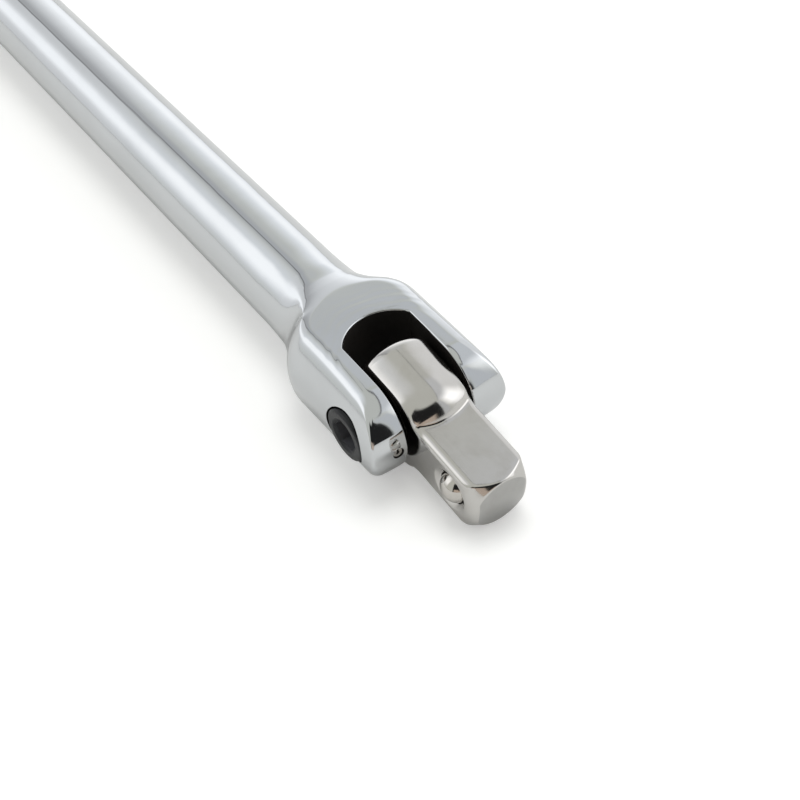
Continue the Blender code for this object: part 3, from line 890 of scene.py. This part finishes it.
def screwProfile():
    face, radius, rim = screw["face"], screw["headRadius"], screw["rim"]
    shank, thread, end = screw["shankRadius"], screw["threadRadius"], screw["end"]
    under, start, eased = screw["headUnderside"], screw["threadStart"], screw["threadEase"]
    flat, recess, floor = screw["socketFlats"] / 2, screw["recessRadius"], face + screw["recessDepth"]
    # the recess with softened corners, the rim, the head's side and underside, the shank and the thread
    profile = [(floor, 0), (floor, flat + 0.12), (face + 0.42, flat + 0.3), (face + 0.1, recess - 0.12)]
    profile += [(face + 0.02, recess), (face, recess + 0.14)]
    for turn in (1.5, 1.2, 0.9, 0.6, 0.3, 0):
        drop, width = (1 - math.sin(turn)) * screw["rimDrop"], (1 - math.cos(turn)) * screw["rimWidth"]
        profile.append((face + rim * drop, radius - rim * width))
    profile += [(under - 0.15, radius), (under, radius - 0.15), (under, shank), (start - 0.5, shank)]
    return profile + [(start, thread), (end - eased, thread), (end, thread - eased), (end, 0)]


def makeScrew(blackened, socketBlack):
    body = turned("pivotScrew", screwProfile(), "Y", 96)
    corner, pin, past = screw["socketFlats"] / math.sqrt(3), forging["pinRadius"], 5
    ahead, deep = screw["face"] - past, screw["face"] + screw["socketDepth"]
    socket = [(ahead, 0), (ahead, corner), (deep, corner), (deep + screw["socketPoint"], 0)]
    start, beyond = screw["pinSeatStart"], screw["shankRadius"] + past
    pinSeat = turned("pinSeat", [(start, 0), (start, pin), (beyond, pin), (beyond, 0)], "X", 32)
    pinSeat.data.transform(Matrix.Translation((0, -forging["pinOffset"], 0)))
    cut(body, turned("hexSocket", socket, "Y", 6, 1), pinSeat)
    dress(body, handlePlace, [blackened, socketBlack], 28)
    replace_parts(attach(body, "handle"), "pivot_screw")


lockPin = {
    "radius": 1.0,
    "wall": 0.66,
    "slit": 0.4,
    "start": 2.8,
    "sink": 0.3,
    "ease": 0.16,
    "easeStep": 0.3,  # how the eased tip rounds over, in parts of the ease
    "boreEase": 0.4,
}


def makeLockPin(polished):
    # a rolled sheet with a slit, eased at both ends
    tip, start, eased = forging["noseRadius"] - lockPin["sink"], lockPin["start"], lockPin["ease"]
    step, slit = lockPin["easeStep"], lockPin["slit"]
    loops = []
    for x, taper in ((start, 1), (start + eased, 0), (tip - eased, 0), (tip - eased * step, step), (tip, 1)):
        outer = lockPin["radius"] - eased * taper
        inner = lockPin["radius"] - lockPin["wall"] + eased * taper * lockPin["boreEase"]
        outside, inside = (math.degrees(math.asin(slit / 2 / radius)) for radius in (outer, inner))
        ring = [*arc((0, 0), outer, outside, 360 - outside, 40)]
        ring += arc((0, 0), inner, 360 - inside, inside, 30)
        loops.append([(x, y - forging["pinOffset"], z) for z, y in ring])
    pin = dress(skin("lockPin", loops), handlePlace, [polished], 40)
    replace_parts(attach(pin, "handle"), "lock_pin")


def finishWashers(washerPaintedShade):
    # the washers take a near-black painted shade for the shaded gap they sit in
    for node in ("friction_washer_near", "friction_washer_far"):
        carried = frame["nodes"][node].data.materials
        for i in range(len(carried)):
            carried[i] = washerPaintedShade


# Finishes, from groups that put out masks and heights


def polishGrain():
    # the faint streaks that a polishing belt leaves, as a height and a mask
    inputs = {"Across": 900.0, "Along": 60.0, "Seed": 0.0}
    tree, given, result = groupOf("polishGrain", inputs, ["Height", "Streaks"])
    size = add(tree, "ShaderNodeCombineXYZ", X=given["Along"], Y=given["Across"], Z=given["Across"])
    stretched = add(tree, "ShaderNodeVectorMath", 0, {"operation": "MULTIPLY"})
    fill(stretched.node.inputs[0], add(tree, "ShaderNodeTexCoord", "Object"))
    fill(stretched.node.inputs[1], size)
    look = {"W": given["Seed"], "Scale": 1.0, "Detail": 3.0, "Roughness": 0.6}
    fine = add(tree, "ShaderNodeTexNoise", 0, {"noise_dimensions": "4D"}, Vector=stretched, **look)
    fill(result["Height"], fine)
    fill(result["Streaks"], ramp(fine, 0.42, 0.72))
    return tree


def specks():
    # small pits and dust grains, as a mask
    tree, given, result = groupOf("specks", {"Scale": 2200.0, "Amount": 0.12}, ["Mask"])
    place = add(tree, "ShaderNodeTexCoord", "Object")
    cells = add(tree, "ShaderNodeTexVoronoi", "Distance", Vector=place, Scale=given["Scale"])
    coarse = maths("MULTIPLY", given["Scale"], 0.31)
    cloud = add(tree, "ShaderNodeTexNoise", Vector=place, Scale=coarse, Detail=1.0)
    kept = maths("GREATER_THAN", cloud, 0.56)
    dots = maths("MULTIPLY", maths("SUBTRACT", given["Amount"], cells), 12.0, clamp=True)
    fill(result["Mask"], maths("MULTIPLY", dots, kept, clamp=True))
    return tree


def handling():
    # broad soft patches where the surface is a little duller, as a mask
    tree, given, result = groupOf("handling", {"Scale": 60.0, "Low": 0.45, "High": 0.75}, ["Mask"])
    look = {"Scale": given["Scale"], "Detail": 4.0, "Roughness": 0.55, "Distortion": 0.4}
    cloud = add(tree, "ShaderNodeTexNoise", Vector=add(tree, "ShaderNodeTexCoord", "Object"), **look)
    fill(result["Mask"], ramp(cloud, given["Low"], given["High"]))
    return tree


def polishWaves():
    # shallow waves that the polishing wheel leaves on the flats behind the slot, as a height in metres
    inputs = {"Spacing": 0.0016, "Depth": 0.000005, "Reach": 0.02, "Level": 0.01, "Wander": 0.0}
    tree, given, result = groupOf("polishWaves", inputs, ["Height"])
    place = add(tree, "ShaderNodeTexCoord", "Object")
    ahead = 2  # of the slot's arc
    middle = pivot + Vector((forging["slotCentre"] + ahead, 0, 0)) * mm
    centred = add(tree, "ShaderNodeMapping", Vector=place, Location=-middle)
    x, y, z = add(tree, "ShaderNodeSeparateXYZ", Vector=centred).node.outputs
    away = maths("SQRT", maths("ADD", maths("POWER", x, 2.0), maths("POWER", y, 2.0)))
    cloud = add(tree, "ShaderNodeTexNoise", Vector=place, Scale=170.0, Detail=1.0)
    turn = maths("ADD", maths("DIVIDE", away, given["Spacing"]), maths("MULTIPLY", cloud, 1.6))
    wave = maths("MULTIPLY", maths("SINE", maths("MULTIPLY", turn, 2 * math.pi)), given["Depth"])
    inReach = ramp(away, given["Reach"], maths("MULTIPLY", given["Reach"], 0.5), smooth=True)
    low, high = (maths("SUBTRACT", given["Level"], depth) for depth in (0.0012, 0.0003))
    onFlat = ramp(maths("ABSOLUTE", z), low, high, smooth=True)
    behind = ramp(x, 0.0, -0.005, smooth=True)
    shape = maths("MULTIPLY", maths("MULTIPLY", wave, inReach), maths("MULTIPLY", onFlat, behind))
    drift = add(tree, "ShaderNodeTexNoise", Vector=place, Scale=120.0, Detail=1.5)
    fill(result["Height"], maths("ADD", shape, maths("MULTIPLY", drift, given["Wander"])))
    return tree


grainGroup, speckGroup, handlingGroup, wavesGroup = polishGrain(), specks(), handling(), polishWaves()
wear = {"stainShare": 0.6, "streakShare": 0.6, "dust": (0.05, 0.045, 0.04, 1), "dustRoughness": 0.3}
plain = {"metallic": 1.0, "specular": 0.5, "speck": (2200.0, 0.0, 0.0), "waves": None}

# worn: the duller patches' scale and added roughness; grain: streaks across, along, and their depth in metres
# speck: scale, amount and darkening; waves: spacing, depth and wander in metres
finishes = {
    "polishedChrome": {
        "color": (0.65, 0.665, 0.68),
        "stain": (0.585, 0.5985, 0.612),
        "roughness": 0.045,
        "worn": (45.0, 0.03),
        "grain": (700.0, 40.0, 2e-6),
        "speck": (1500.0, 0.06, 0.25),
        "waves": (0.0019, 1.3e-5, 6e-5),
    },
    # near-black painted shade for the walls of the slot and the bores, which lie in shade
    "slotPaintedShade": {
        "color": (0.016, 0.014, 0.0125),
        "stain": (0.026, 0.022, 0.019),
        "roughness": 0.5,
        "metallic": 0.0,
        "specular": 0.2,
        "worn": (150.0, 0.15),
        "grain": (1600.0, 400.0, 8e-6),
    },
    "satinPlatedSteel": {
        "color": (0.62, 0.605, 0.585),
        "stain": (0.56, 0.54, 0.51),
        "roughness": 0.085,
        "worn": (220.0, 0.05),
        "grain": (2600.0, 500.0, 4e-6),
        "speck": (3600.0, 0.13, 0.55),
    },
    # the square's end: rougher than the satin, and darker as painted shade for the shadowed floor that it mirrors
    "endFacePaintedShade": {
        "color": (0.46, 0.455, 0.445),
        "stain": (0.41, 0.4, 0.385),
        "roughness": 0.16,
        "worn": (260.0, 0.08),
        "grain": (2600.0, 900.0, 6e-6),
        "speck": (3600.0, 0.15, 0.6),
    },
    "polishedSteel": {
        "color": (0.62, 0.595, 0.56),
        "stain": (0.558, 0.5355, 0.504),
        "roughness": 0.07,
        "worn": (300.0, 0.05),
        "grain": (2500.0, 900.0, 2e-6),
        "speck": (4000.0, 0.1, 0.4),
    },
    "springSteel": {
        "color": (0.42, 0.41, 0.40),
        "stain": (0.25, 0.22, 0.20),
        "roughness": 0.3,
        "worn": (400.0, 0.15),
        "grain": (3000.0, 300.0, 6e-6),
    },
    # near-black painted shade for the washers, which sit in the shaded gap beside the hub
    "washerPaintedShade": {
        "color": (0.05, 0.047, 0.044),
        "stain": (0.03, 0.028, 0.026),
        "roughness": 0.38,
        "worn": (400.0, 0.12),
        "grain": (3000.0, 300.0, 6e-6),
    },
    "blackOxide": {
        "color": (0.031, 0.032, 0.034),
        "stain": (0.045, 0.045, 0.047),
        "roughness": 0.36,
        "metallic": 0.85,
        "worn": (500.0, 0.12),
        "grain": (2400.0, 1200.0, 1e-5),
        "speck": (4200.0, 0.1, 0.2),
    },
    "blackOxideSocket": {
        "color": (0.15, 0.15, 0.165),
        "stain": (0.11, 0.11, 0.12),
        "roughness": 0.5,
        "metallic": 0.6,
        "worn": (500.0, 0.1),
        "grain": (2400.0, 1200.0, 1e-5),
    },
}


def metal(name):
    look = {**plain, **finishes[name]}
    material = bpy.data.materials.new(name)
    material.use_nodes = True
    tree = material.node_tree
    slots = tree.nodes["Principled BSDF"].inputs
    slots["Metallic"].default_value = look["metallic"]
    slots["Specular IOR Level"].default_value = look["specular"]

    def mask(group, output, **values):
        return add(tree, "ShaderNodeGroup", output, {"node_tree": group}, **values)

    (wornScale, duller), (sideways, along, depth) = look["worn"], look["grain"]
    speckScale, amount, darkening = look["speck"]
    patches = mask(handlingGroup, "Mask", Scale=wornScale)
    streaks = mask(grainGroup, "Streaks", Across=sideways, Along=along)
    dots = mask(speckGroup, "Mask", Scale=speckScale, Amount=amount)
    stained = maths("MULTIPLY", patches, wear["stainShare"])
    tone = mix(stained, (*look["color"], 1), (*look["stain"], 1))
    fill(slots["Base Color"], mix(maths("MULTIPLY", dots, darkening), tone, wear["dust"]))
    rough = maths("MULTIPLY_ADD", patches, duller, look["roughness"])
    rough = maths("MULTIPLY_ADD", streaks, duller * wear["streakShare"], rough)
    fill(slots["Roughness"], maths("MULTIPLY_ADD", dots, wear["dustRoughness"], rough, clamp=True))
    bump = add(tree, "ShaderNodeBump", Height=streaks.node.outputs["Height"], Distance=depth, Strength=1.0)
    if look["waves"]:
        spacing, deep, wander = look["waves"]
        level = forging["halfFork"] * mm
        swell = mask(wavesGroup, "Height", Spacing=spacing, Depth=deep, Wander=wander, Level=level)
        bump = add(tree, "ShaderNodeBump", Height=swell, Distance=1.0, Strength=1.0, Normal=bump)
    fill(slots["Normal"], bump)
    return material


finish = {name: metal(name) for name in finishes}
print(len(finish), "finishes done")

makeHandle(finish["polishedChrome"], finish["slotPaintedShade"])
makeKnurl(finish["polishedChrome"])
makeDriveHead(finish["satinPlatedSteel"], finish["slotPaintedShade"], finish["endFacePaintedShade"])
makeBall(finish["polishedSteel"])
makeSpring(finish["springSteel"])
makeScrew(finish["blackOxide"], finish["blackOxideSocket"])
makeLockPin(finish["polishedSteel"])
finishWashers(finish["washerPaintedShade"])


# Floor, light and camera

floorLook = {
    "size": 8,
    "color": (0.75, 0.748, 0.738),
    "roughness": 0.8,
    "specular": 0.2,
    "lift": 0.34,  # shown to the camera on top of the light that falls on it, so that it reads as white
    "liftInMetal": 0.15,  # the share of that lift that reflections show
}
lamp = {"azimuth": 122, "elevation": 78, "away": 0.9, "size": 0.5, "watts": 3.0}
view = {
    "lens": 80.067,
    "sensor": 36,
    "nearest": 0.01,
    "place": (0.193259, -0.118784, 0.244216),  # from the swivel axis, in metres
    "turn": (42.707637, 3.925069, 54.706523),  # degrees about X, Y and Z, from looking straight down
}
studio = {
    "dome": 0.66,
    "tints": {
        "cool": (0.972, 1.0, 1.03),
        "warm": (0.985, 1.0, 0.94),
        "plain": (0.99, 1.0, 1.01),
        "brown": (1.2, 1.0, 0.84),
    },
    # middle azimuth and elevation, half width and half height, soft edges across and up, level; in degrees
    "patches": [
        ("sideGlow", 152, 12.3, 51.5, 21.3, 50.7, 27.5, 1.1, "cool"),
        ("rearBox", 150.8, 12.1, 27, 8, 16.2, 13.8, 1.37, "plain"),
        ("nearGlow", -145, 34.3, 22, 31.4, 33.6, 30, 0.95, "cool"),
        ("nearBox", -131, 32.8, 19.7, 16.8, 10.2, 20.7, 1.38, "plain"),
        ("backDip", 176, 46, 8, 10, 13, 14, 0.555, "cool"),
        ("overFlat", 148.4, 49.3, 13.4, 5.6, 15.8, 7.9, 0.69, "cool"),
        ("backSeam", 180, 46, 0.9, 14, 0.8, 6, 0.15, "plain"),
        ("frontGlow", 100, 30, 26, 20, 24, 10, 0.95, "plain"),
        ("frontLow", 64, 8, 22, 10, 24, 10, 1.35, "plain"),
        ("frontBox", 58, 29, 22, 18, 30, 24, 1.8, "plain"),
        ("frontSide", 25, 22, 5.5, 24, 5, 10, 0.66, "cool"),
        ("darkFront", -24, 22, 43, 31, 1.2, 10, 0.02, "plain"),
        ("frontRail", -22, 3.5, 27, 6.5, 8, 2, 0.5, "brown"),
        ("frontStand", -46, 8, 14, 9, 8, 4, 0.5, "brown"),
    ],
    # ceiling panels that run along the handle, placed by their roll about X and lean along X
    "panels": [
        ("farPanel", 43, 7.5, 22.8, 26, 1, 5, 0.74, "cool"),
        ("gap", 20.2, 4, 0.5, 33, 0.6, 6, 0.2, "plain"),
    ],
    # the strip lights along the far handle: (roll about X, level)
    "strips": [
        (-93, 0.8), (-73, 0.93), (-63, 1.18), (-53, 1.35), (-43, 1.34), (-33, 1.11), (-23, 0.88),
        (-13, 0.82), (-5, 0.8), (-3.6, 0.3), (-1.6, 0.3), (-0.4, 0.52), (7, 0.54), (17, 0.66), (27, 0.81),
        (37, 0.94), (57, 1.22), (70, 1.34), (77, 1.33), (87, 1.15), (93, 1.0),
    ],
    "stripTint": (0.985, 1.0, 1.015),
    "stripsFrom": (0.725, 0.775),  # the lean along X at which they begin and are full
}


def makeFloor():
    bpy.ops.mesh.primitive_plane_add(size=1, location=(pivot.x, 0, 0))
    floor = bpy.context.object
    floor.name = "floor"
    floor.data.transform(Matrix.Scale(floorLook["size"], 4))
    material = bpy.data.materials.new("paleFloor")
    material.use_nodes = True
    slots = material.node_tree.nodes["Principled BSDF"].inputs
    slots["Base Color"].default_value = (*floorLook["color"], 1)
    slots["Roughness"].default_value = floorLook["roughness"]
    slots["Specular IOR Level"].default_value = floorLook["specular"]
    slots["Emission Color"].default_value = (1, 1, 1, 1)
    ray = add(material.node_tree, "ShaderNodeLightPath").node.outputs
    inMetal = maths("MAXIMUM", ray["Is Glossy Ray"], ray["Is Transmission Ray"])
    seen = maths("MULTIPLY_ADD", inMetal, floorLook["liftInMetal"], ray["Is Camera Ray"])
    fill(slots["Emission Strength"], maths("MULTIPLY", seen, floorLook["lift"]))
    floor.data.materials.append(material)
    print("floor done")


patchInputs = ("Turn", "Rise", "Middle", "Height", "Half Width", "Half Height", "Soft Width", "Soft Height")


def softPatch():
    # a soft-edged panel of the studio, as a mask over two angles in degrees
    tree, given, result = groupOf("softPatch", dict.fromkeys(patchInputs, 0.0), ["Mask"])
    # the way round from the middle, brought within half a turn
    swung = maths("MODULO", maths("ADD", maths("SUBTRACT", given["Turn"], given["Middle"]), 540.0), 360.0)
    aside = maths("ABSOLUTE", maths("SUBTRACT", swung, 180.0))
    above = maths("ABSOLUTE", maths("SUBTRACT", given["Rise"], given["Height"]))
    masks = []
    for away, half, soft in ((aside, "Half Width", "Soft Width"), (above, "Half Height", "Soft Height")):
        outer, inner = (maths("MULTIPLY_ADD", given[soft], share, given[half]) for share in (0.5, -0.5))
        masks.append(ramp(away, outer, inner, smooth=True))
    fill(result["Mask"], maths("MULTIPLY", *masks))
    return tree


def stripLight(tree, roll):
    # the strips' levels, as a curve over the roll angle
    stops = studio["strips"]
    low, high, top = stops[0][0], stops[-1][0], 2.0  # the curve itself ends at 1, so it holds level / top
    level = add(tree, "ShaderNodeFloatCurve", Value=ramp(roll, low, high))
    curve = level.node.mapping
    points = curve.curves[0].points
    spots = [((place - low) / (high - low), height / top) for place, height in stops]
    points[0].location, points[-1].location = spots[0], spots[-1]
    for spot in spots[1:-1]:
        points.new(*spot)
    for point in points:
        point.handle_type = "AUTO_CLAMPED"
    curve.update()
    level = maths("MULTIPLY", level, top)
    parts = {part: maths("MULTIPLY", level, tint) for part, tint in zip("XYZ", studio["stripTint"])}
    return add(tree, "ShaderNodeCombineXYZ", **parts)


def makeWorld():
    world = bpy.data.worlds.new("studio")
    bpy.context.scene.world = world
    world.use_nodes = True
    tree = world.node_tree
    direction = add(tree, "ShaderNodeTexCoord", "Generated")
    x, y, z = add(tree, "ShaderNodeSeparateXYZ", Vector=direction).node.outputs
    azimuth = maths("DEGREES", maths("ARCTAN2", y, x))
    elevation = maths("DEGREES", maths("ARCSINE", z))
    roll = maths("DEGREES", maths("ARCTAN2", y, z))
    lean = maths("DEGREES", maths("ARCSINE", x))
    patch = softPatch()

    def lit(level, tint):
        return tuple(level * part for part in (*studio["tints"][tint], 1))

    light = lit(studio["dome"], "warm")
    for kind, turn, rise in (("panels", roll, lean), ("patches", azimuth, elevation)):
        for name, *place, level, tint in studio[kind]:
            settings = {"node_tree": patch, "label": name}
            values = dict(zip(patchInputs, (turn, rise, *place)))
            light = mix(add(tree, "ShaderNodeGroup", "Mask", settings, **values), light, lit(level, tint))
    farAlong = ramp(maths("MULTIPLY", x, -1.0), *studio["stripsFrom"], smooth=True)
    light = mix(farAlong, light, stripLight(tree, roll))
    light = mix(add(tree, "ShaderNodeLightPath", "Is Camera Ray"), light, (1, 1, 1, 1))
    fill(tree.nodes["Background"].inputs["Color"], light)
    print("studio light done")


def makeLamp():
    # a soft lamp for the shadow on the floor, which the metal doesn't mirror
    light = bpy.data.lights.new("softLamp", "AREA")
    light.shape = "DISK"
    light.size = lamp["size"]
    light.energy = lamp["watts"]
    turn, rise = math.radians(lamp["azimuth"]), math.radians(lamp["elevation"])
    toLamp = Vector((math.cos(turn) * math.cos(rise), math.sin(turn) * math.cos(rise), math.sin(rise)))
    facing = toLamp.to_track_quat("Z", "Y").to_matrix().to_4x4()
    placed = bpy.data.objects.new("softLamp", light)
    placed.matrix_world = Matrix.Translation(pivot + toLamp * lamp["away"]) @ facing
    placed.visible_glossy = False
    bpy.context.scene.collection.objects.link(placed)


def makeCamera():
    data = bpy.data.cameras.new("camera")
    data.sensor_width = view["sensor"]
    data.lens = view["lens"]
    data.clip_start = view["nearest"]
    camera = bpy.data.objects.new("camera", data)
    bpy.context.scene.collection.objects.link(camera)
    camera.location = pivot + Vector(view["place"])
    camera.rotation_euler = [math.radians(angle) for angle in view["turn"]]
    bpy.context.scene.camera = camera
    print("camera done")


makeFloor()
makeWorld()
makeLamp()
makeCamera()
bpy.context.scene.view_settings.view_transform = "Standard"
